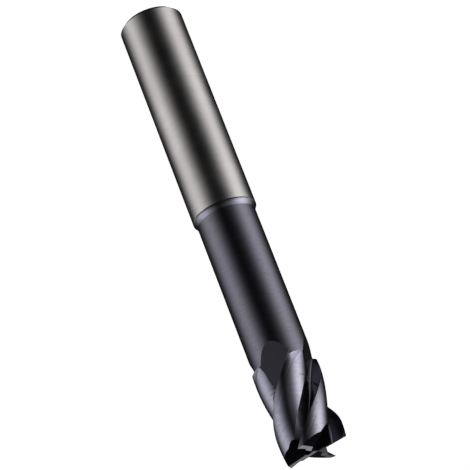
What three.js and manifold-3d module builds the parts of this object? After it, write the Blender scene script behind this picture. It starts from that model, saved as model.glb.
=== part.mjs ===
// Square end mill, four flutes, centre cutting, with a reduced neck and a plain cylindrical shank.
// Millimetres. The tool stands on its shank's end face: origin at that face's centre, +Z along the
// axis to the cutting end. It turns about +Z by the right-hand rule, so cutting faces look that way.
//
// The real tool is ground from one rod. Its named regions are modelled as solids that meet face to
// face: shank, neck, run-out collar, core and four teeth.
import * as THREE from 'three';
import { mergeVertices } from 'three/addons/utils/BufferGeometryUtils.js';
import Module from 'manifold-3d';

const wasm = await Module();
wasm.setup();

// Driving dimensions.
const CUT_DIAMETER = 12;
const SHANK_DIAMETER = 12;
const NECK_DIAMETER = 11;
const SHANK_LENGTH = 42.7;
const REACH = 48.4; // from the shank's front edge to the cutting corners
const HEAD_LENGTH = 21; // flutes and their run-out
const HELIX_ANGLE = 40;
const TOOTH_COUNT = 4;

const CUT_RADIUS = CUT_DIAMETER / 2;
const SHANK_RADIUS = SHANK_DIAMETER / 2;
const NECK_RADIUS = NECK_DIAMETER / 2;
const TOTAL_LENGTH = SHANK_LENGTH + REACH;
const HEAD_BASE = TOTAL_LENGTH - HEAD_LENGTH;
const PITCH = (2 * Math.PI) / TOOTH_COUNT;

// Turned shape.
const REAR_CHAMFER = 0.78;
const FRONT_BREAK = 0.12; // the shank's front edge is eased by this much
const SHOULDER_LENGTH = 1.1;
const SHOULDER_CURVE = 1.6; // 1 is a straight cone, more is a rounder start
const SHOULDER_STEPS = 6;
const LAND_LENGTH = 16.5; // the cutting diameter reaches this far back from the corners
const LAND_STEP_LENGTH = 0.6; // and drops to the neck over this length
const RING_SEGMENTS = 96;
const RING_SPACING = 0.6;

// Flute section. Directions are counted from one tooth's edge backwards, the way the edge came from.
const PRIMARY_WIDTH = 0.5;
const PRIMARY_ANGLE = radians(9);
const SECONDARY_WIDTH = 1.25;
const SECONDARY_ANGLE = radians(18);
const RELIEF_RADIUS = 12; // both lands are eccentric relief, so they bulge a little
const BACK_RADIUS = 3.78;
const BACK_ANGLE = radians(27);
const FLOOR_DEPTH = 3.25; // the flute's flat floor stands this far from the axis
const FLOOR_DIRECTION = radians(100.3);
const GULLET_RADIUS = 0.4;
const RAKE_ANGLE = radians(6);

// Run-out. The floor climbs out of the work as a flat ramp that no longer follows the helix.
const FULL_DEPTH_LENGTH = 11;
const RAMP_START = 11.85;
const RAMP_SLOPE = Math.tan(radians(15));
const RAMP_BLEND = 1; // the ramp starts over this length either side
const RAMP_DIRECTION = radians(198.5); // faced by the ramp, from where the tooth's edge meets the tip
const BACK_FADE_START = 16.2;
const BACK_FADE_SLOPE = 0.25;
const FLUTE_END = 20.6;
const TIP_PHASE = radians(29); // the first tooth's corner, from +X

// End teeth: a gash in front of each, and two relief faces behind its edge.
const END_DISH = radians(2);
const END_PRIMARY_WIDTH = 1;
const END_PRIMARY_ANGLE = radians(8);
const END_SECONDARY_ANGLE = radians(24);
const GASH_SLOPE = radians(31);
const GASH_WEB = 0.1; // each gash wall stands this far in front of the centre
const GASH_WIDTH = 1.35; // of its level bottom
const GASH_BACK_ANGLE = radians(31);
const LONG_GASH_DEPTH = 0.3; // at the centre, for the two teeth that reach it
const SHORT_GASH_DEPTH = -0.1; // the other two only start outside it

const CORE_RADIUS = 3.62; // just over the flutes' deepest point, so the core parts the teeth

// Steps along each stretch of the section.
const LAND_STEPS = 1;
const SECONDARY_STEPS = 2;
const CLEARED_STEPS = 2;
const BACK_STEPS = 7;
const FLOOR_STEPS = 1;
const GULLET_STEPS = 5;
const FACE_STEPS = 1;
const LEAST_STEP = 0.004; // radians between points where a feature of the section has faded out
const SEARCH_STEPS = 200;
const CUTTER_SIZE = 40;
const CUT_ALLOWANCE = 0.5; // the fluted rod runs this far past the corners before its end is ground
const SPLIT_OVERLAP = 0.02; // the two blocks that cut a gash meet with this much overlap

const steel = new THREE.MeshStandardMaterial({ color: 0x9d9a99, roughness: 0.28, metalness: 1 });
const coating = new THREE.MeshStandardMaterial({ color: 0x4b4657, roughness: 0.35, metalness: 0.85 });

function radians(degrees) {
  return (degrees * Math.PI) / 180;
}

function direction(angle) {
  return new THREE.Vector2(Math.cos(angle), Math.sin(angle));
}

// A circle that passes through a point with its outward normal in a direction.
function circleThrough(point, normal, radius) {
  const centre = point.clone().addScaledVector(direction(normal), -radius);
  return {
    pointAfter: (length) => centre.clone().addScaledVector(direction(normal + length / radius), radius),
    radiusAt: (angle) => {
      const across = centre.length() * Math.sin(angle - centre.angle());
      return centre.length() * Math.cos(angle - centre.angle()) + Math.sqrt(radius ** 2 - across ** 2);
    },
  };
}

const edgePoint = direction(0).multiplyScalar(CUT_RADIUS);
const primaryLand = circleThrough(edgePoint, PRIMARY_ANGLE, RELIEF_RADIUS);
const primaryEnd = primaryLand.pointAfter(PRIMARY_WIDTH);
const secondaryLand = circleThrough(primaryEnd, SECONDARY_ANGLE, RELIEF_RADIUS);
const heel = secondaryLand.pointAfter(SECONDARY_WIDTH);
const toothBack = circleThrough(heel, BACK_ANGLE, BACK_RADIUS);
const faceNormal = direction(-RAKE_ANGLE);
const faceOffset = direction(PITCH).multiplyScalar(CUT_RADIUS).dot(faceNormal);

// Where a function that starts above zero first reaches it between two angles, or the end.
function fallsToZero(value, start, end) {
  const angles = evenSteps(start, end, (end - start) / SEARCH_STEPS);
  const reached = angles.findIndex((angle) => value(angle) <= 0);
  if (reached <= 0) return reached === 0 ? start : end;
  const [before, after] = [angles[reached - 1], angles[reached]];
  const drop = value(before) - value(after);
  return before + ((after - before) * value(before)) / drop;
}

// Zero before the start, then a straight rise, with a round blend between the two.
function softRamp(distance) {
  if (Math.abs(distance) >= RAMP_BLEND) return Math.max(distance, 0);
  return (distance + RAMP_BLEND) ** 2 / (4 * RAMP_BLEND);
}

function helixTurn(fromTip) {
  return (fromTip * Math.tan(radians(HELIX_ANGLE))) / CUT_RADIUS;
}

function blankRadius(fromTip) {
  const step = THREE.MathUtils.clamp((fromTip - LAND_LENGTH) / LAND_STEP_LENGTH, 0, 1);
  const rounded = 1 - Math.sqrt(1 - step * step);
  return CUT_RADIUS + (NECK_RADIUS - CUT_RADIUS) * rounded;
}

// The points from the end of the flute's floor to the next tooth's edge: the gullet and the cutting
// face, or the plain circle once the floor leaves the work before it reaches them.
function outlineAfterFloor(blank, depth, facing) {
  const edgeHeight = Math.sqrt(blank ** 2 - faceOffset ** 2);
  const faceTop = faceNormal.clone().multiplyScalar(faceOffset)
    .addScaledVector(direction(PITCH - RAKE_ANGLE), edgeHeight);
  const floorNormal = direction(facing);
  const corner = floorNormal.cross(faceNormal);
  const [toFloor, toFace] = [depth + GULLET_RADIUS, faceOffset + GULLET_RADIUS];
  const gulletCentre = new THREE.Vector2(
    (toFloor * faceNormal.y - toFace * floorNormal.y) / corner,
    (toFace * floorNormal.x - toFloor * faceNormal.x) / corner,
  );
  const floorEnd = gulletCentre.clone().addScaledVector(floorNormal, -GULLET_RADIUS);
  const points = [];
  if (floorEnd.length() >= blank) {
    const leaves = facing + Math.acos(Math.min(1, depth / blank));
    for (let i = 0; i < GULLET_STEPS + FACE_STEPS; i += 1) {
      const angle = THREE.MathUtils.lerp(leaves, faceTop.angle(), i / (GULLET_STEPS + FACE_STEPS));
      points.push(direction(angle).multiplyScalar(blank));
    }
    return { points, edge: faceTop.angle() };
  }
  const pointOnGullet = (sweep) => gulletCentre.clone().addScaledVector(direction(sweep), GULLET_RADIUS);
  const start = facing + Math.PI;
  const full = facing + RAKE_ANGLE;
  const sweep = fallsToZero((turn) => blank - pointOnGullet(start - turn).length(), 0, full);
  for (let i = 0; i < GULLET_STEPS; i += 1) {
    points.push(pointOnGullet(start - (sweep * i) / GULLET_STEPS));
  }
  const faceStart = pointOnGullet(start - sweep);
  for (let i = 0; i < FACE_STEPS; i += 1) {
    points.push(faceStart.clone().lerp(faceTop, i / FACE_STEPS));
  }
  return { points, edge: faceTop.angle() };
}

// Moves the angles between spans apart, so that a feature that has faded out keeps its points distinct.
function spreadStops(stops, counts) {
  for (let i = 1; i < counts.length; i += 1) {
    stops[i] = Math.max(stops[i], stops[i - 1] + counts[i - 1] * LEAST_STEP);
  }
  for (let i = counts.length - 1; i > 0; i -= 1) {
    stops[i] = Math.min(stops[i], stops[i + 1] - counts[i] * LEAST_STEP);
  }
}

// One pitch of the section at this distance from the corners, before the helix turns it: the lands
// behind a tooth's edge, its back and the flute's floor, then the gullet and the next cutting face.
function pitchOutline(fromTip) {
  const blank = blankRadius(fromTip);
  const depth = FLOOR_DEPTH + RAMP_SLOPE * softRamp(fromTip - RAMP_START);
  const facing = Math.min(FLOOR_DIRECTION, RAMP_DIRECTION - helixTurn(fromTip));
  const lift = BACK_FADE_SLOPE * softRamp(fromTip - BACK_FADE_START);
  const { points: rest, edge } = outlineAfterFloor(blank, depth, facing);

  const backAt = (angle) => toothBack.radiusAt(angle) + lift;
  const floorAt = (angle) => depth / Math.cos(angle - facing);
  const floorEnd = rest[0].angle();
  const underBlank = (angle) => Math.min(backAt(angle), floorAt(angle)) - blank;
  const cleared = fallsToZero(underBlank, heel.angle(), floorEnd);
  const crease = fallsToZero((angle) => floorAt(angle) - backAt(angle), cleared, floorEnd);
  const counts = [LAND_STEPS, SECONDARY_STEPS, CLEARED_STEPS, BACK_STEPS, FLOOR_STEPS];
  const stops = [edge - PITCH, primaryEnd.angle(), heel.angle(), cleared, crease, floorEnd];
  spreadStops(stops, counts);
  const points = [];
  counts.forEach((count, span) => {
    const fluteAt = span < counts.length - 1 ? backAt : floorAt;
    for (let i = 0; i < count; i += 1) {
      const angle = THREE.MathUtils.lerp(stops[span], stops[span + 1], i / count);
      const landAt = Math.min(primaryLand.radiusAt(angle), secondaryLand.radiusAt(angle));
      const radius = Math.min(blank, landAt, fluteAt(angle));
      points.push(direction(angle).multiplyScalar(radius));
    }
  });
  return points.concat(rest);
}

// The whole section at this distance from the corners, anticlockwise.
function sectionRing(fromTip) {
  const pitch = pitchOutline(fromTip).reverse().map(({ x, y }) => new THREE.Vector2(x, -y));
  const ring = [];
  for (let tooth = 0; tooth < TOOTH_COUNT; tooth += 1) {
    const turn = TIP_PHASE - helixTurn(fromTip) + tooth * PITCH;
    pitch.forEach((point) => ring.push(point.clone().rotateAround(new THREE.Vector2(), turn)));
  }
  return ring;
}

// Triangles that fill a ring: a fan from the axis, which stands one past the last point, unless the
// gullets undercut it.
function capTriangles(ring) {
  const fan = ring.map((point, i) => [ring.length, i, (i + 1) % ring.length]);
  const seenFromAxis = fan.every(([, a, b]) => ring[a].cross(ring[b]) > 0);
  return seenFromAxis ? fan : THREE.ShapeUtils.triangulateShape(ring, []);
}

// A closed solid through the sections at these distances from the corners, given tip first.
function loft(distances) {
  const rings = distances.map(sectionRing);
  const positions = [];
  rings.forEach((ring, level) => {
    ring.forEach((point) => positions.push(point.x, point.y, TOTAL_LENGTH - distances[level]));
  });
  const size = rings[0].length;
  const index = [];
  for (let level = 0; level + 1 < rings.length; level += 1) {
    for (let i = 0; i < size; i += 1) {
      const next = (i + 1) % size;
      const top = level * size;
      const bottom = top + size;
      index.push(top + i, bottom + i, bottom + next, top + i, bottom + next, top + next);
    }
  }
  const addCap = (ring, level, facesUp) => {
    const triangles = capTriangles(ring);
    const centre = positions.length / 3;
    positions.push(0, 0, TOTAL_LENGTH - distances[level]);
    const vertex = (i) => (i === size ? centre : level * size + i);
    triangles.forEach(([a, b, c]) => {
      index.push(vertex(a), vertex(facesUp ? b : c), vertex(facesUp ? c : b));
    });
  };
  addCap(rings[0], 0, true);
  addCap(rings.at(-1), rings.length - 1, false);
  const geometry = new THREE.BufferGeometry();
  geometry.setAttribute('position', new THREE.Float32BufferAttribute(positions, 3));
  geometry.setIndex(index);
  return geometry;
}

function evenSteps(from, to, spacing) {
  const count = Math.ceil((to - from) / spacing);
  return Array.from({ length: count + 1 }, (_, i) => THREE.MathUtils.lerp(from, to, i / count));
}

function turned(outline) {
  const profile = outline.map(([radius, height]) => new THREE.Vector2(radius, height));
  return new THREE.LatheGeometry(profile, RING_SEGMENTS).rotateX(Math.PI / 2);
}

function toSolid(geometry) {
  const plain = geometry.clone();
  plain.deleteAttribute('normal');
  plain.deleteAttribute('uv');
  const merged = mergeVertices(plain, 1e-5);
  return new wasm.Manifold(new wasm.Mesh({
    numProp: 3,
    vertProperties: new Float32Array(merged.attributes.position.array),
    triVerts: new Uint32Array(merged.index.array),
  }));
}

function toGeometry(solid) {
  const { vertProperties, triVerts } = solid.getMesh();
  const geometry = new THREE.BufferGeometry();
  geometry.setAttribute('position', new THREE.BufferAttribute(vertProperties, 3));
  geometry.setIndex(new THREE.BufferAttribute(triVerts, 1));
  return geometry;
}

// A block standing on a face that starts at the given corner and runs along two directions from it.
// Cutting it away leaves nothing above that face. The two directions and +Z are right-handed.
function cutterAbove(corner, along, across) {
  const size = CUTTER_SIZE;
  const block = new THREE.BoxGeometry(size, size, size).translate(size / 2, size / 2, size / 2);
  const basis = new THREE.Matrix4().makeBasis(along, across, new THREE.Vector3(0, 0, 1));
  return toSolid(block.applyMatrix4(basis.setPosition(corner)));
}

// The two relief faces behind an end edge that lies along +X, over the quarter of the end behind it.
function endRelief() {
  const inwards = new THREE.Vector3(-1, 0, -Math.tan(END_DISH));
  const primary = new THREE.Vector3(0, -1, -Math.tan(END_PRIMARY_ANGLE));
  const secondary = new THREE.Vector3(0, -1, -Math.tan(END_SECONDARY_ANGLE));
  const edgeStart = new THREE.Vector3(CUT_RADIUS, 0, 0)
    .addScaledVector(inwards, CUT_RADIUS - GASH_WEB - CUTTER_SIZE);
  const primaryCorner = edgeStart.clone().addScaledVector(primary, -CUT_ALLOWANCE);
  const secondaryCorner = edgeStart.clone()
    .addScaledVector(primary, END_PRIMARY_WIDTH)
    .addScaledVector(secondary, -END_PRIMARY_WIDTH - CUT_ALLOWANCE);
  return cutterAbove(primaryCorner, inwards, primary).add(cutterAbove(secondaryCorner, inwards, secondary));
}

// The notch in front of an end edge that lies along +X: an upright wall close to the centre, a
// bottom that deepens outwards, and a back that climbs away from it.
function gash(depth) {
  const outwards = new THREE.Vector3(1, 0, -Math.tan(GASH_SLOPE));
  const across = new THREE.Vector3(0, (GASH_WIDTH + SPLIT_OVERLAP) / CUTTER_SIZE, 0);
  const climbing = new THREE.Vector3(0, 1, Math.tan(GASH_BACK_ANGLE));
  const corner = new THREE.Vector3(0, GASH_WEB, -depth).addScaledVector(outwards, -CUTTER_SIZE / 4);
  const backCorner = corner.clone().add(new THREE.Vector3(0, GASH_WIDTH, 0));
  return cutterAbove(corner, outwards, across).add(cutterAbove(backCorner, outwards, climbing));
}

// The small square of web between the four gash walls is ground level with the dish.
function webTop() {
  const width = 2.2 * GASH_WEB;
  const top = CUT_RADIUS * Math.tan(END_DISH) + GASH_WEB * Math.tan(END_PRIMARY_ANGLE);
  const block = new THREE.BoxGeometry(width, width, CUTTER_SIZE);
  return toSolid(block.translate(0, 0, CUTTER_SIZE / 2 - top));
}

// The fluted end as one solid, from its corners back to where the flutes start to run out.
function cuttingEnd() {
  let solid = toSolid(loft(evenSteps(-CUT_ALLOWANCE, FULL_DEPTH_LENGTH, RING_SPACING)));
  const web = webTop().rotate([0, 0, THREE.MathUtils.radToDeg(TIP_PHASE)]).translate([0, 0, TOTAL_LENGTH]);
  for (let tooth = 0; tooth < TOOTH_COUNT; tooth += 1) {
    const depth = tooth % 2 === 0 ? LONG_GASH_DEPTH : SHORT_GASH_DEPTH;
    const turn = THREE.MathUtils.radToDeg(TIP_PHASE + tooth * PITCH);
    const cutter = endRelief().add(gash(depth)).rotate([0, 0, turn]).translate([0, 0, TOTAL_LENGTH]);
    solid = solid.subtract(cutter);
  }
  return solid.subtract(web);
}

function angleOf(solid) {
  const { min, max } = solid.boundingBox();
  return Math.atan2(min[1] + max[1], min[0] + max[0]);
}

function shank() {
  return turned([
    [0, 0],
    [SHANK_RADIUS - REAR_CHAMFER, 0],
    [SHANK_RADIUS, REAR_CHAMFER],
    [SHANK_RADIUS, SHANK_LENGTH - FRONT_BREAK],
    [SHANK_RADIUS - FRONT_BREAK, SHANK_LENGTH],
    [0, SHANK_LENGTH],
  ]);
}

// The neck starts with a rounded shoulder that takes the shank's diameter down to its own.
function neck() {
  const outline = [[0, SHANK_LENGTH]];
  for (let i = 0; i <= SHOULDER_STEPS; i += 1) {
    const along = i / SHOULDER_STEPS;
    const blend = 1 - (1 - along) ** SHOULDER_CURVE;
    const radius = THREE.MathUtils.lerp(SHANK_RADIUS - FRONT_BREAK, NECK_RADIUS, blend);
    outline.push([radius, SHANK_LENGTH + along * SHOULDER_LENGTH]);
  }
  outline.push([NECK_RADIUS, HEAD_BASE], [0, HEAD_BASE]);
  return turned(outline);
}

// The collar where the flutes climb out to the neck.
function runOutCollar() {
  const landEnd = LAND_LENGTH + LAND_STEP_LENGTH;
  return loft([
    ...evenSteps(FULL_DEPTH_LENGTH, LAND_LENGTH, RING_SPACING),
    ...evenSteps(LAND_LENGTH, landEnd, LAND_STEP_LENGTH / 4).slice(1),
    ...evenSteps(landEnd, FLUTE_END, RING_SPACING / 2).slice(1),
    HEAD_LENGTH,
  ]);
}

const tool = new THREE.Group();

function addPart(name, geometry, material) {
  const mesh = new THREE.Mesh(geometry, material.clone());
  mesh.name = name;
  tool.add(mesh);
}

addPart('shank', shank(), steel);
addPart('neck', neck(), coating);
addPart('run_out_collar', runOutCollar(), coating);

const end = cuttingEnd();
const coreRod = toSolid(turned([
  [0, TOTAL_LENGTH - FULL_DEPTH_LENGTH - 1],
  [CORE_RADIUS, TOTAL_LENGTH - FULL_DEPTH_LENGTH - 1],
  [CORE_RADIUS, TOTAL_LENGTH + 1],
  [0, TOTAL_LENGTH + 1],
]));
addPart('core', toGeometry(end.intersect(coreRod)), coating);
const teeth = end.subtract(coreRod).decompose().sort((a, b) => angleOf(a) - angleOf(b));
teeth.forEach((tooth, i) => addPart(`tooth_${i + 1}`, toGeometry(tooth), coating));

export default tool;
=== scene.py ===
import math

import bmesh
import bpy
import numpy as np
from mathutils import Matrix, Vector


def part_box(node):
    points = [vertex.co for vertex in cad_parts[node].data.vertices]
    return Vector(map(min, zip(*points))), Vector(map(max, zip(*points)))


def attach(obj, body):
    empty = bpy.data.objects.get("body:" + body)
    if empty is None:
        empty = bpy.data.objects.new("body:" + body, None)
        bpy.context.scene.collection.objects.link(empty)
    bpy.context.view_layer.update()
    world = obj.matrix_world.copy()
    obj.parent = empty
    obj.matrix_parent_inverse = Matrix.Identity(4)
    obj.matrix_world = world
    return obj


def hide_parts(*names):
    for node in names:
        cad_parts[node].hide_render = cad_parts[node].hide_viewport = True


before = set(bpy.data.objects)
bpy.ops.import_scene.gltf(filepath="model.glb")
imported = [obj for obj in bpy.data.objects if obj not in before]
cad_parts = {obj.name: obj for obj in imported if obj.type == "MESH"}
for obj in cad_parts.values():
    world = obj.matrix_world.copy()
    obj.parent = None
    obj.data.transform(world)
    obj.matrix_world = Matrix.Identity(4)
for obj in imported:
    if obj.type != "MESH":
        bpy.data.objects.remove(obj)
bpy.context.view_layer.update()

# A square end mill that stands on its shank, +Z along its axis to the cutting end. The lengths below
# are millimetres unless they say otherwise; MM turns them into the frame's metres.
MM = 0.001
TO_METRES = Matrix.Scale(MM, 4)
SAME_HEIGHT = 0.01


def top_of(node):
    """Height of a CAD node's top."""
    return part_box(node)[1].z / MM


def ring_radius(node, height):
    """Greatest radius of a CAD node's vertices at a height."""
    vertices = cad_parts[node].data.vertices
    near = [vertex.co for vertex in vertices if abs(vertex.co.z / MM - height) < SAME_HEIGHT]
    return max(co.xy.length for co in near) / MM


# Sizes from the frame.
TOOTH_COUNT = 4
TEETH = [f"tooth_{number}" for number in range(1, TOOTH_COUNT + 1)]
SHANK_TOP = top_of("shank")
NECK_TOP = top_of("neck")
TIP = max(top_of(node) for node in TEETH)
SHANK_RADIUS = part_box("shank")[1].x / MM
END_RADIUS = ring_radius("shank", 0)
NECK_RADIUS = ring_radius("neck", NECK_TOP)
CUT_RADIUS = SHANK_RADIUS
FRONT_BREAK = SHANK_RADIUS - ring_radius("shank", SHANK_TOP)
REAR_CHAMFER = SHANK_RADIUS - END_RADIUS
HEAD_LENGTH = TIP - NECK_TOP

# The neck's shoulder.
SHOULDER_LENGTH = 1.1
SHOULDER_CURVE = 1.6  # 1 is a straight cone, more is a rounder start
SHOULDER_STEPS = 14

# The flute's section, as in the CAD model. Angles here are counted from a tooth's edge backwards, and
# the section is built with backwards as anticlockwise.
PITCH = 2 * math.pi / TOOTH_COUNT
HELIX = math.tan(math.radians(40)) / CUT_RADIUS  # radians per millimetre
TIP_PHASE = math.radians(29)  # the first tooth's corner, from +X
RELIEF_RADIUS = 12
PRIMARY_WIDTH = 0.5
PRIMARY_ANGLE = math.radians(9)
SECONDARY_WIDTH = 1.25
SECONDARY_ANGLE = math.radians(18)
BACK_RADIUS = 3.78
BACK_ANGLE = math.radians(27)
FLOOR_DEPTH = 3.25  # the flute's flat floor stands this far from the axis
FLOOR_DIRECTION = math.radians(100.3)
RAKE_ANGLE = math.radians(6)
GULLET_RADIUS = 0.4

# The run-out, in distances from the tip. The floor climbs out as a flat ramp with a direction of its
# own, and the blank drops from the cutting diameter to the neck.
RAMP_START = 11.85
RAMP_SLOPE = math.tan(math.radians(15))
RAMP_BLEND = 1  # the ramp starts over this length either side
RAMP_DIRECTION = math.radians(198.5)
BACK_FADE_START = 16.2
BACK_FADE_SLOPE = 0.25
LAND_LENGTH = 16.5
LAND_STEP_LENGTH = 0.6
RUN_OUT_END = 20.6

# The end teeth: a gash in front of each, and two relief faces behind its edge.
END_DISH = math.radians(2)
END_PRIMARY_WIDTH = 1
END_PRIMARY_ANGLE = math.radians(8)
END_SECONDARY_ANGLE = math.radians(24)
GASH_SLOPE = math.radians(31)
GASH_WEB = 0.1  # each gash wall stands this far in front of the centre
GASH_WIDTH = 1.35  # of its level bottom
GASH_BACK_ANGLE = math.radians(31)
GASH_DEPTHS = (0.3, -0.1)  # at the centre, for the long and short teeth in turn

# The blocks that cut the end.
CUTTER_SIZE = 40
GASH_OVERRUN = CUTTER_SIZE / 4  # along the gash, on the far side of the axis
CUT_ALLOWANCE = 0.5  # the fluted rod runs this far past the corners before its end is cut
SPLIT_OVERLAP = 0.02  # the two blocks that cut a gash overlap by this much
WEB_ALLOWANCE = 1.1  # the web's cutter is wider than the web by this factor

# Mesh fineness.
LAND_POINTS = 4
CLEARED_POINTS = 6
BACK_POINTS = 24
FLOOR_POINTS = 24
ARC_POINTS = 16
FACE_POINTS = 10
LEAST_STEP = 5e-4  # radians between points where a feature of the section has faded out
LEAST_FACING = 0.05  # cosine below which a direction counts as missing a line
SEARCH_STEPS = 200
SEARCH_HALVINGS = 30
RING_SPACING = 0.12
RUN_OUT_SPACING = RING_SPACING / 2
LAND_STEP_RINGS = 16
TURNED_SEGMENTS = 256
SAME_POINT = 2e-4
SHARP_ANGLE = math.radians(7)
NECK_SHARP_ANGLE = math.radians(12)

# The camera: where it looks along the tool and beside its axis, how far off, and how it is turned.
AIM_FROM_TIP = 0.4833 * TIP
SIDE_OFFSET = 0.0314 * 2 * SHANK_RADIUS
CAMERA_DISTANCE = 5.03 * TIP
CAMERA_TILT = math.radians(25.1)
CAMERA_ROLL = math.radians(21.27)
CAMERA_CLIP = 10
SENSOR_WIDTH = 36
LENS = 196.24

# Colours. The bare carbide is a warm grey, and the coat is violet with browner patches.
BARE_LIGHT = (0.57, 0.55, 0.54, 1)
BARE_STAINED = (0.50, 0.48, 0.475, 1)
BARE_LINES = (0.44, 0.42, 0.415, 1)
# Bare carbide on its edges: partly worn, partly a painted edge glint.
BARE_WORN_AND_GLINT = (0.74, 0.73, 0.73, 1)
COAT_VIOLET = (0.150, 0.149, 0.188, 1)
COAT_BROWN = (0.156, 0.147, 0.172, 1)
COAT_LINES = (0.112, 0.109, 0.138, 1)
# The coat on its edges: partly worn through, partly a painted edge glint.
COAT_WORN_AND_GLINT = (0.27, 0.25, 0.29, 1)
FLOOR_COLOUR = (0.9, 0.9, 0.9, 1)
WHITE = (1, 1, 1, 1)

# Finishes. A noise scale is per metre, so a larger one along the axis draws rings round the tool.
BARE_RING_SCALE = (60, 60, 9000)
BARE_MARK_SCALE = 260
BARE_STAIN_SCALE = 190
BARE_STAIN_STRETCH = (1, 1, 0.35)
BARE_ROUGHNESS = (0.15, 0.22)
COAT_LINE_SCALE = (700, 700, 2600)
COAT_GRAIN_SCALE = 5200
COAT_TINT_SCALE = 230
COAT_TINT_STRETCH = (1, 1, 0.5)
COAT_ROUGHNESS = (0.16, 0.25)
GRAIN_SHARE = 0.5
BUMP_HEIGHT = 0.00002  # metres
# The edge mask, which lightens edges as wear and as a painted edge glint.
WEAR_AND_GLINT_RADIUS = 0.05
WEAR_AND_GLINT_PATCH_SCALE = 1400
WEAR_AND_GLINT_SAMPLES = 6

FLOOR_HALF_WIDTH = 3.0  # metres
FLOOR_GLOW = 0.85


def polar(angle, length=1.0):
    return np.array([math.cos(angle), math.sin(angle)]) * length


def arc_end(start, direction, radius, length):
    """Centre and end of a relief arc that leaves a point with its normal in a direction."""
    centre = start - polar(direction, radius)
    return centre, centre + polar(direction + length / radius, radius)


PRIMARY_CENTRE, PRIMARY_END = arc_end(polar(0, CUT_RADIUS), PRIMARY_ANGLE, RELIEF_RADIUS, PRIMARY_WIDTH)
SECONDARY_CENTRE, HEEL = arc_end(PRIMARY_END, SECONDARY_ANGLE, RELIEF_RADIUS, SECONDARY_WIDTH)
BACK_CENTRE = HEEL - polar(BACK_ANGLE, BACK_RADIUS)
FACE_NORMAL = polar(-RAKE_ANGLE)
FACE_OFFSET = float(polar(PITCH, CUT_RADIUS) @ FACE_NORMAL)


def turned_about_axis(points, angle):
    c, s = math.cos(angle), math.sin(angle)
    return points @ np.array([[c, s], [-s, c]])


def angle_of(point):
    return math.atan2(point[1], point[0])


def circle_points(angles):
    return np.stack([np.cos(angles), np.sin(angles)], axis=-1)


def arc_radius(angles, centre, radius):
    """Distance from the axis to an arc, in the directions given."""
    reach = math.hypot(*centre)
    offset = angles - angle_of(centre)
    return reach * np.cos(offset) + np.sqrt(np.maximum(radius**2 - (reach * np.sin(offset)) ** 2, 0))


def line_radius(angles, direction, depth):
    """Distance from the axis to a straight line at a depth, in the directions given."""
    facing = np.cos(angles - direction)
    return np.where(facing > LEAST_FACING, depth / np.maximum(facing, LEAST_FACING), np.inf)


def falls_to_zero(function, start, end):
    """Where a function that starts above zero first reaches it between two angles, or the end."""
    angles = np.linspace(start, end, SEARCH_STEPS)
    low = np.flatnonzero(function(angles) <= 0)
    if len(low) == 0:
        return end
    if low[0] == 0:
        return start
    before = angles[low[0] - 1]
    after = angles[low[0]]
    for _ in range(SEARCH_HALVINGS):
        middle = (before + after) / 2
        if function(middle) > 0:
            before = middle
        else:
            after = middle
    return after


def soft_ramp(distance):
    """Zero before the start, then a straight rise, with a round blend between the two."""
    if abs(distance) >= RAMP_BLEND:
        return max(distance, 0)
    return (distance + RAMP_BLEND) ** 2 / (4 * RAMP_BLEND)


def blank_radius(from_tip):
    """Radius of the rod before its flutes: the cutting radius, then a round step down to the neck."""
    step = min(max((from_tip - LAND_LENGTH) / LAND_STEP_LENGTH, 0), 1)
    return CUT_RADIUS + (NECK_RADIUS - CUT_RADIUS) * (1 - math.sqrt(1 - step * step))


def spread(stops, counts):
    """The angles between spans, moved apart so that a faded feature keeps its points distinct."""
    stops = list(stops)
    for i in range(1, len(counts)):
        stops[i] = max(stops[i], stops[i - 1] + counts[i - 1] * LEAST_STEP)
    for i in range(len(counts) - 1, 0, -1):
        stops[i] = min(stops[i], stops[i + 1] - counts[i] * LEAST_STEP)
    return stops


def floor_line(from_tip):
    """Depth and direction of the flute's flat floor."""
    depth = FLOOR_DEPTH + RAMP_SLOPE * soft_ramp(from_tip - RAMP_START)
    return depth, min(FLOOR_DIRECTION, RAMP_DIRECTION - from_tip * HELIX)


def face_edge(blank):
    """Where the next tooth's cutting face meets the blank's circle."""
    return FACE_NORMAL * FACE_OFFSET + polar(PITCH - RAKE_ANGLE, math.sqrt(blank**2 - FACE_OFFSET**2))


def gullet_and_face(blank, depth, direction):
    """The angle where the floor ends, and the points from there to the next tooth's edge."""
    normals = np.vstack([polar(direction), FACE_NORMAL])
    centre = np.linalg.solve(normals, [depth + GULLET_RADIUS, FACE_OFFSET + GULLET_RADIUS])
    sweep_start = direction + math.pi
    full_sweep = sweep_start - (math.pi - RAKE_ANGLE)

    def on_arc(sweep):
        return centre + GULLET_RADIUS * circle_points(sweep)

    if np.hypot(*on_arc(sweep_start)) >= blank:
        # The floor has climbed out, so the outline goes on round the blank.
        floor_end = direction + math.acos(min(1, depth / blank))
        edge = angle_of(face_edge(blank))
        around = np.linspace(floor_end, edge, ARC_POINTS + FACE_POINTS, endpoint=False)
        return floor_end, blank * circle_points(around)

    swept = falls_to_zero(lambda turn: blank - np.hypot(*on_arc(sweep_start - turn).T), 0, full_sweep)
    sweep_exit = sweep_start - swept
    gullet = on_arc(np.linspace(sweep_start, sweep_exit, ARC_POINTS, endpoint=False))
    steps = np.linspace(0, 1, FACE_POINTS, endpoint=False)[:, None]
    face = on_arc(sweep_exit) + (face_edge(blank) - on_arc(sweep_exit)) * steps
    return angle_of(on_arc(sweep_start)), np.vstack([gullet, face])


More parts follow.
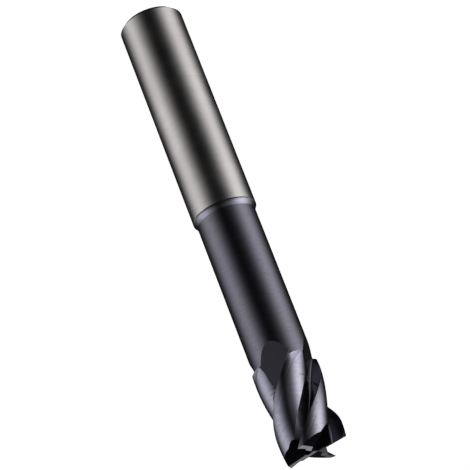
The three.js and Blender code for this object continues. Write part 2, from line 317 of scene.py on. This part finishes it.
def pitch_outline(from_tip):
    """The section over one pitch: lands, back, floor, gullet, and the next tooth's cutting face."""
    blank = blank_radius(from_tip)
    depth, direction = floor_line(from_tip)
    lift = BACK_FADE_SLOPE * soft_ramp(from_tip - BACK_FADE_START)

    def back(angles):
        return arc_radius(angles, BACK_CENTRE, BACK_RADIUS) + lift

    def floor(angles):
        return line_radius(angles, direction, depth)

    floor_end, after_floor = gullet_and_face(blank, depth, direction)
    edge = angle_of(face_edge(blank)) - PITCH
    heel = angle_of(HEEL)
    cleared = falls_to_zero(lambda a: np.minimum(back(a), floor(a)) - blank, heel, floor_end)
    crease = falls_to_zero(lambda a: floor(a) - back(a), cleared, floor_end)
    counts = [LAND_POINTS, 2 * LAND_POINTS, CLEARED_POINTS, BACK_POINTS, FLOOR_POINTS]
    stops = spread([edge, angle_of(PRIMARY_END), heel, cleared, crease, floor_end], counts)
    crease = stops[4]
    spans = zip(stops, stops[1:], counts)
    angles = np.concatenate([np.linspace(start, end, count, endpoint=False) for start, end, count in spans])
    radii = np.minimum.reduce([
        np.full_like(angles, blank),
        arc_radius(angles, PRIMARY_CENTRE, RELIEF_RADIUS),
        arc_radius(angles, SECONDARY_CENTRE, RELIEF_RADIUS),
        np.where(angles < crease, back(angles), floor(angles)),
    ])
    return np.vstack([radii[:, None] * circle_points(angles), after_floor])


def section_ring(from_tip):
    """All four pitches, anticlockwise, at a distance from the tip."""
    pitch = pitch_outline(from_tip)[::-1] * (1, -1)
    turns = [TIP_PHASE - from_tip * HELIX + tooth * PITCH for tooth in range(TOOTH_COUNT)]
    return np.vstack([turned_about_axis(pitch, turn) for turn in turns])


def make_object(name, mesh):
    obj = bpy.data.objects.new(name, mesh)
    bpy.context.scene.collection.objects.link(obj)
    return obj


def lofted(name, rings, heights):
    """A closed mesh through rings of equal size, stacked from the top down."""
    size = len(rings[0])
    levels = [np.column_stack([ring, np.full(size, z)]) for ring, z in zip(rings, heights)]
    last = (len(rings) - 1) * size
    top_face = tuple(range(size))
    bottom_face = tuple(range(last + size - 1, last - 1, -1))
    faces = [top_face, bottom_face]
    for top in range(0, last, size):
        bottom = top + size
        for i in range(size):
            j = (i + 1) % size
            faces.append((top + i, bottom + i, bottom + j, top + j))
    mesh = bpy.data.meshes.new(name)
    mesh.from_pydata((np.vstack(levels) * MM).tolist(), [], faces)
    return make_object(name, mesh)


def turned(name, profile):
    """A closed solid of revolution from (radius, height) pairs given from the bottom up."""
    circle = circle_points(np.linspace(0, 2 * math.pi, TURNED_SEGMENTS, endpoint=False))
    rings = [circle * radius for radius, _ in reversed(profile)]
    return lofted(name, rings, [height for _, height in reversed(profile)])


def shade(obj, sharp_angle=SHARP_ANGLE):
    """Smooth shading, with a sharp edge wherever two faces meet at more than the angle."""
    mesh = bmesh.new()
    mesh.from_mesh(obj.data)
    for face in mesh.faces:
        face.smooth = True
    for edge in mesh.edges:
        edge.smooth = len(edge.link_faces) == 2 and edge.calc_face_angle(0) < sharp_angle
    mesh.to_mesh(obj.data)
    mesh.free()


def block(*moves):
    """A unit cube about the origin, moved by each matrix in turn."""
    cube = bmesh.new()
    bmesh.ops.create_cube(cube, size=1)
    for move in moves:
        bmesh.ops.transform(cube, verts=cube.verts, matrix=move)
    mesh = bpy.data.meshes.new("cutter")
    cube.to_mesh(mesh)
    cube.free()
    return make_object("cutter", mesh)


def cutter_above(corner, along, across, turn):
    """A block on a face that starts at the corner and runs along two directions, turned about the axis."""
    columns = Matrix((along, across, (0, 0, 1))).transposed().to_4x4() @ Matrix.Scale(CUTTER_SIZE, 4)
    place = Matrix.Rotation(turn, 4, "Z") @ Matrix.Translation(corner) @ columns
    from_corner = Matrix.Translation((0.5, 0.5, 0.5))
    return block(place @ from_corner, TO_METRES @ Matrix.Translation((0, 0, TIP)))


def end_relief_cutters(turn):
    """The two faces behind an end edge. The first starts a little in front of it."""
    inwards = Vector((-1, 0, -math.tan(END_DISH)))
    primary = Vector((0, -1, -math.tan(END_PRIMARY_ANGLE)))
    secondary = Vector((0, -1, -math.tan(END_SECONDARY_ANGLE)))
    edge_start = Vector((CUT_RADIUS, 0, 0)) + inwards * (CUT_RADIUS - GASH_WEB - CUTTER_SIZE)
    primary_corner = edge_start - primary * CUT_ALLOWANCE
    secondary_edge = edge_start + primary * END_PRIMARY_WIDTH
    secondary_corner = secondary_edge - secondary * (END_PRIMARY_WIDTH + CUT_ALLOWANCE)
    return [
        cutter_above(primary_corner, inwards, primary, turn),
        cutter_above(secondary_corner, inwards, secondary, turn),
    ]


def gash_cutters(depth, turn):
    """The notch in front of an end edge: a level bottom beside an upright wall, and a climbing back."""
    outwards = Vector((1, 0, -math.tan(GASH_SLOPE)))
    across = Vector((0, (GASH_WIDTH + SPLIT_OVERLAP) / CUTTER_SIZE, 0))
    climbing = Vector((0, 1, math.tan(GASH_BACK_ANGLE)))
    corner = Vector((0, GASH_WEB, -depth)) - outwards * GASH_OVERRUN
    back_corner = corner + Vector((0, GASH_WIDTH, 0))
    return [
        cutter_above(corner, outwards, across, turn),
        cutter_above(back_corner, outwards, climbing, turn),
    ]


def web_cutter():
    """Clears what stands over the web between the gash walls, down to the relief faces beside it."""
    top = CUT_RADIUS * math.tan(END_DISH) + GASH_WEB * math.tan(END_PRIMARY_ANGLE)
    width = 2 * WEB_ALLOWANCE * GASH_WEB
    size = Matrix.Diagonal((width, width, CUTTER_SIZE, 1))
    lifted = Matrix.Translation((0, 0, TIP - top + CUTTER_SIZE / 2))
    place = lifted @ Matrix.Rotation(TIP_PHASE, 4, "Z") @ size
    return block(TO_METRES @ place)


def clean(obj):
    """Join the points that fall together where a feature of the section fades out."""
    mesh = bmesh.new()
    mesh.from_mesh(obj.data)
    bmesh.ops.remove_doubles(mesh, verts=mesh.verts, dist=SAME_POINT * MM)
    mesh.to_mesh(obj.data)
    mesh.free()


def cut(obj, cutter):
    """Take the cutter's block away from the object, and delete the cutter."""
    modifier = obj.modifiers.new("cut", "BOOLEAN")
    modifier.operation = "DIFFERENCE"
    modifier.solver = "MANIFOLD"
    modifier.object = cutter
    graph = bpy.context.evaluated_depsgraph_get()
    mesh = bpy.data.meshes.new_from_object(obj.evaluated_get(graph))
    obj.modifiers.clear()
    old = obj.data
    obj.data = mesh
    bpy.data.meshes.remove(old)
    bpy.data.objects.remove(cutter)


def ring_distances():
    """Distances from the tip of the sections, closer together where the shape changes faster."""
    full = np.arange(-CUT_ALLOWANCE, LAND_LENGTH, RING_SPACING)
    step = LAND_LENGTH + LAND_STEP_LENGTH * np.linspace(0, 1, LAND_STEP_RINGS) ** 2
    run_out = np.arange(LAND_LENGTH + LAND_STEP_LENGTH, RUN_OUT_END, RUN_OUT_SPACING)[1:]
    return np.concatenate([full, step, run_out, [HEAD_LENGTH]])


def cutting_end():
    """The fluted end, from the neck to the ground end teeth."""
    distances = ring_distances()
    obj = lofted("cutting_end", [section_ring(d) for d in distances], [TIP - d for d in distances])
    for tooth in range(TOOTH_COUNT):
        turn = TIP_PHASE + tooth * PITCH
        depth = GASH_DEPTHS[tooth % len(GASH_DEPTHS)]
        for cutter in end_relief_cutters(turn) + gash_cutters(depth, turn):
            cut(obj, cutter)
    cut(obj, web_cutter())
    clean(obj)
    shade(obj)
    return obj


def shank():
    """The plain shank, with its rear chamfer and its eased front edge."""
    profile = [
        (END_RADIUS, 0),
        (SHANK_RADIUS, REAR_CHAMFER),
        (SHANK_RADIUS, SHANK_TOP - FRONT_BREAK),
        (SHANK_RADIUS - FRONT_BREAK, SHANK_TOP),
    ]
    obj = turned("shank_piece", profile)
    shade(obj)
    return obj


def neck():
    """The reduced neck, with the rounded shoulder that leads to it."""
    start = SHANK_RADIUS - FRONT_BREAK
    profile = []
    for along in np.linspace(0, 1, SHOULDER_STEPS):
        blend = 1 - (1 - along) ** SHOULDER_CURVE
        profile.append((start + (NECK_RADIUS - start) * blend, SHANK_TOP + along * SHOULDER_LENGTH))
    profile.append((NECK_RADIUS, NECK_TOP))
    obj = turned("neck_piece", profile)
    shade(obj, NECK_SHARP_ANGLE)
    return obj


class Shader:
    """A node tree, with short calls for the nodes used here."""

    def __init__(self, tree):
        self.nodes = tree.nodes
        self.links = tree.links

    def connect(self, socket, value):
        if isinstance(value, bpy.types.NodeSocket):
            self.links.new(value, socket)
        else:
            socket.default_value = value

    def math(self, operation, *values):
        node = self.nodes.new("ShaderNodeMath")
        node.operation = operation
        for socket, value in zip(node.inputs, values):
            self.connect(socket, value)
        return node.outputs[0]

    def vector_math(self, operation, *values):
        node = self.nodes.new("ShaderNodeVectorMath")
        node.operation = operation
        for socket, value in zip(node.inputs, values):
            self.connect(socket, value)
        return node.outputs["Value" if operation == "DOT_PRODUCT" else "Vector"]

    def axis_parts(self, vector):
        node = self.nodes.new("ShaderNodeSeparateXYZ")
        self.links.new(vector, node.inputs[0])
        return node.outputs

    def direction_match(self, vector, direction, narrowness, strength):
        """A soft spot of light: strongest where the vector points in the direction."""
        facing = self.math("MAXIMUM", self.vector_math("DOT_PRODUCT", vector, direction), 0.0)
        return self.math("MULTIPLY", self.math("POWER", facing, narrowness), strength)

    def ramp(self, value, span, result):
        """A smooth change from the first result to the second as the value crosses the span."""
        node = self.nodes.new("ShaderNodeMapRange")
        node.interpolation_type = "SMOOTHSTEP"
        self.links.new(value, node.inputs["Value"])
        for name, number in zip(("From Min", "From Max", "To Min", "To Max"), (*span, *result)):
            node.inputs[name].default_value = number
        return node.outputs[0]

    def noise(self, vector, scale, detail):
        node = self.nodes.new("ShaderNodeTexNoise")
        node.inputs["Scale"].default_value = scale
        node.inputs["Detail"].default_value = detail
        self.links.new(vector, node.inputs["Vector"])
        return node.outputs["Fac"]

    def stretched(self, vector, factors):
        node = self.nodes.new("ShaderNodeMapping")
        node.inputs["Scale"].default_value = factors
        self.links.new(vector, node.inputs["Vector"])
        return node.outputs[0]

    def blend(self, share, low, high):
        """The low colour where the share is 0 and the high colour where it is 1."""
        node = self.nodes.new("ShaderNodeMix")
        node.data_type = "RGBA"
        self.links.new(share, node.inputs["Factor"])
        for name, value in (("A", low), ("B", high)):
            socket = next(s for s in node.inputs if s.name == name and s.type == "RGBA")
            self.connect(socket, value)
        return next(s for s in node.outputs if s.type == "RGBA")

    def bump(self, height, strength):
        node = self.nodes.new("ShaderNodeBump")
        node.inputs["Strength"].default_value = strength
        node.inputs["Distance"].default_value = BUMP_HEIGHT
        self.links.new(height, node.inputs["Height"])
        return node.outputs["Normal"]


def new_material(name):
    material = bpy.data.materials.new(name)
    material.use_nodes = True
    shader = Shader(material.node_tree)
    return material, shader, shader.nodes["Principled BSDF"].inputs


def object_vector(shader):
    return shader.nodes.new("ShaderNodeTexCoord").outputs["Object"]


def worn_and_glinting_edges(shader, place):
    """Up to one along edges, in patches, and zero on open faces and where the neck meets the head. It
    lightens the edges partly as wear and partly as a painted edge glint.
    """
    rounded = shader.nodes.new("ShaderNodeBevel")
    rounded.samples = WEAR_AND_GLINT_SAMPLES
    rounded.inputs["Radius"].default_value = WEAR_AND_GLINT_RADIUS * MM
    surface = shader.nodes.new("ShaderNodeNewGeometry")
    flatness = shader.vector_math("DOT_PRODUCT", rounded.outputs[0], surface.outputs["Normal"])
    height = shader.axis_parts(place)["Z"]
    from_joint = shader.math("ABSOLUTE", shader.math("SUBTRACT", height, NECK_TOP * MM))
    off_joint = shader.math("GREATER_THAN", from_joint, 2 * WEAR_AND_GLINT_RADIUS * MM)
    patches = shader.ramp(shader.noise(place, WEAR_AND_GLINT_PATCH_SCALE, detail=3.0), (0.35, 0.6), (0.25, 1.0))
    edge = shader.ramp(flatness, (0.9, 0.995), (1.0, 0.0))
    return shader.math("MULTIPLY", shader.math("MULTIPLY", edge, off_joint), patches)


def ground_carbide():
    """Bare centreless-ground carbide: fine rings round the axis, faint handling marks, and edges lightened
    partly by wear and partly as a painted glint.
    """
    material, shader, inputs = new_material("ground_carbide")
    place = object_vector(shader)
    rings = shader.noise(shader.stretched(place, BARE_RING_SCALE), 1.0, detail=4.0)
    marks = shader.noise(place, BARE_MARK_SCALE, detail=5.0)
    stain = shader.noise(shader.stretched(place, BARE_STAIN_STRETCH), BARE_STAIN_SCALE, detail=2.0)
    mottled = shader.blend(shader.ramp(stain, (0.35, 0.7), (0, 1)), BARE_LIGHT, BARE_STAINED)
    lined = shader.blend(shader.ramp(rings, (0.4, 0.75), (0, 0.5)), mottled, BARE_LINES)
    inputs["Metallic"].default_value = 1
    # The edges are lightened in patches: partly wear, partly a painted edge glint.
    shader.connect(inputs["Base Color"], shader.blend(worn_and_glinting_edges(shader, place), lined, BARE_WORN_AND_GLINT))
    shader.connect(inputs["Roughness"], shader.ramp(marks, (0.3, 0.75), BARE_ROUGHNESS))
    shader.connect(inputs["Normal"], shader.bump(rings, strength=0.12))
    return material


def coated_carbide():
    """Violet-grey nitride coat over the grinding lines, browner in patches, and lighter at its edges,
    partly worn through and partly a painted edge glint.
    """
    material, shader, inputs = new_material("coated_carbide")
    place = object_vector(shader)
    lines = shader.noise(shader.stretched(place, COAT_LINE_SCALE), 1.0, detail=4.0)
    grain = shader.noise(place, COAT_GRAIN_SCALE, detail=2.0)
    tint = shader.noise(shader.stretched(place, COAT_TINT_STRETCH), COAT_TINT_SCALE, detail=3.0)
    cloudy = shader.blend(shader.ramp(tint, (0.42, 0.66), (0, 1)), COAT_VIOLET, COAT_BROWN)
    lined = shader.blend(shader.ramp(lines, (0.4, 0.8), (0, 0.6)), cloudy, COAT_LINES)
    inputs["Metallic"].default_value = 1
    # The edges are lightened in patches: partly worn coat, partly a painted edge glint.
    shader.connect(inputs["Base Color"], shader.blend(worn_and_glinting_edges(shader, place), lined, COAT_WORN_AND_GLINT))
    shader.connect(inputs["Roughness"], shader.ramp(lines, (0.25, 0.8), COAT_ROUGHNESS))
    texture = shader.math("ADD", lines, shader.math("MULTIPLY", grain, GRAIN_SHARE))
    shader.connect(inputs["Normal"], shader.bump(texture, strength=0.16))
    return material


def towards(azimuth, elevation=0.0):
    """A direction, from degrees round the tool from +X and degrees above the level."""
    a, e = math.radians(azimuth), math.radians(elevation)
    return math.cos(a) * math.cos(e), math.sin(a) * math.cos(e), math.sin(e)


def light_panel(shader, level, height, azimuth, narrowness, strength, high):
    """A wall of soft light that grows brighter upwards, and ends below and above."""
    facing = shader.direction_match(level, towards(azimuth), narrowness, strength)
    rise = shader.ramp(height, (-0.45, -0.08), (0.95, high))
    below = shader.ramp(height, (-0.95, -0.6), (0.0, 1.0))
    above = shader.ramp(height, (0.25, 0.55), (1.0, 0.0))
    ends = shader.math("MULTIPLY", below, above)
    return shader.math("MULTIPLY", shader.math("MULTIPLY", facing, rise), ends)


def studio_world():
    """Two tall soft light panels beside the tool, a glow behind and above it, a weak fill in front."""
    world = bpy.data.worlds.new("studio")
    bpy.context.scene.world = world
    world.use_nodes = True
    shader = Shader(world.node_tree)
    around = shader.nodes.new("ShaderNodeTexCoord").outputs["Generated"]
    parts = shader.axis_parts(around)
    flat = shader.nodes.new("ShaderNodeCombineXYZ")
    shader.links.new(parts["X"], flat.inputs["X"])
    shader.links.new(parts["Y"], flat.inputs["Y"])
    level = shader.vector_math("NORMALIZE", flat.outputs[0])

    plus_x = light_panel(shader, level, parts["Z"], azimuth=-13, narrowness=5, strength=1.0, high=2.5)
    minus_x = light_panel(shader, level, parts["Z"], azimuth=191, narrowness=6, strength=1.15, high=3.5)
    panels = shader.math("ADD", plus_x, minus_x)
    glow = shader.direction_match(around, towards(90, 27), narrowness=110, strength=2.6)
    fill = shader.direction_match(around, towards(250, 6), narrowness=20, strength=0.22)
    room = 0.01
    lights = shader.math("ADD", shader.math("ADD", panels, glow), shader.math("ADD", fill, room))

    camera_ray = shader.nodes.new("ShaderNodeLightPath").outputs["Is Camera Ray"]
    background = shader.nodes["Background"].inputs
    shader.connect(background["Strength"], shader.math("MAXIMUM", lights, camera_ray))
    background["Color"].default_value = WHITE


def studio_floor():
    """A pale floor that glows by itself, and neither lights, shades nor reflects in the tool."""
    mesh = bpy.data.meshes.new("floor")
    half = FLOOR_HALF_WIDTH
    corners = [(-half, -half, 0), (half, -half, 0), (half, half, 0), (-half, half, 0)]
    mesh.from_pydata(corners, [], [(0, 1, 2, 3)])
    obj = make_object("floor", mesh)
    material, _, inputs = new_material("floor")
    inputs["Base Color"].default_value = FLOOR_COLOUR
    inputs["Emission Color"].default_value = WHITE
    inputs["Emission Strength"].default_value = FLOOR_GLOW
    obj.data.materials.append(material)
    obj.visible_glossy = False
    obj.visible_diffuse = False
    obj.visible_shadow = False


def camera():
    """The photograph's view: 25 degrees over the cutting end, rolled so the tool hangs down the frame."""
    data = bpy.data.cameras.new("camera")
    data.sensor_width = SENSOR_WIDTH
    data.lens = LENS
    data.clip_start = CAMERA_CLIP * MM
    obj = make_object("camera", data)
    back = Vector((0, -math.cos(CAMERA_TILT), math.sin(CAMERA_TILT)))
    along = Vector((0, math.sin(CAMERA_TILT), math.cos(CAMERA_TILT)))
    across = Vector((-1, 0, 0))
    right = across * math.cos(CAMERA_ROLL) + along * math.sin(CAMERA_ROLL)
    up = across * math.sin(CAMERA_ROLL) - along * math.cos(CAMERA_ROLL)
    target = Vector((-SIDE_OFFSET, 0, TIP - AIM_FROM_TIP)) * MM
    turn = Matrix((right, up, back)).transposed().to_4x4()
    obj.matrix_world = Matrix.Translation(target + back * CAMERA_DISTANCE * MM) @ turn
    bpy.context.scene.camera = obj


bpy.context.scene.view_settings.view_transform = "Standard"
camera()
studio_world()
studio_floor()

bare = ground_carbide()
coat = coated_carbide()
pieces = [
    (shank(), bare, "ground_carbide", ["shank"]),
    (neck(), coat, "coated_carbide", ["neck"]),
    (cutting_end(), coat, "coated_carbide", ["run_out_collar", "core", *TEETH]),
]
for piece, material, slot, nodes in pieces:
    piece.data.materials.clear()
    piece.data.materials.append(material)
    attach(piece, "root")
    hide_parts(*nodes)
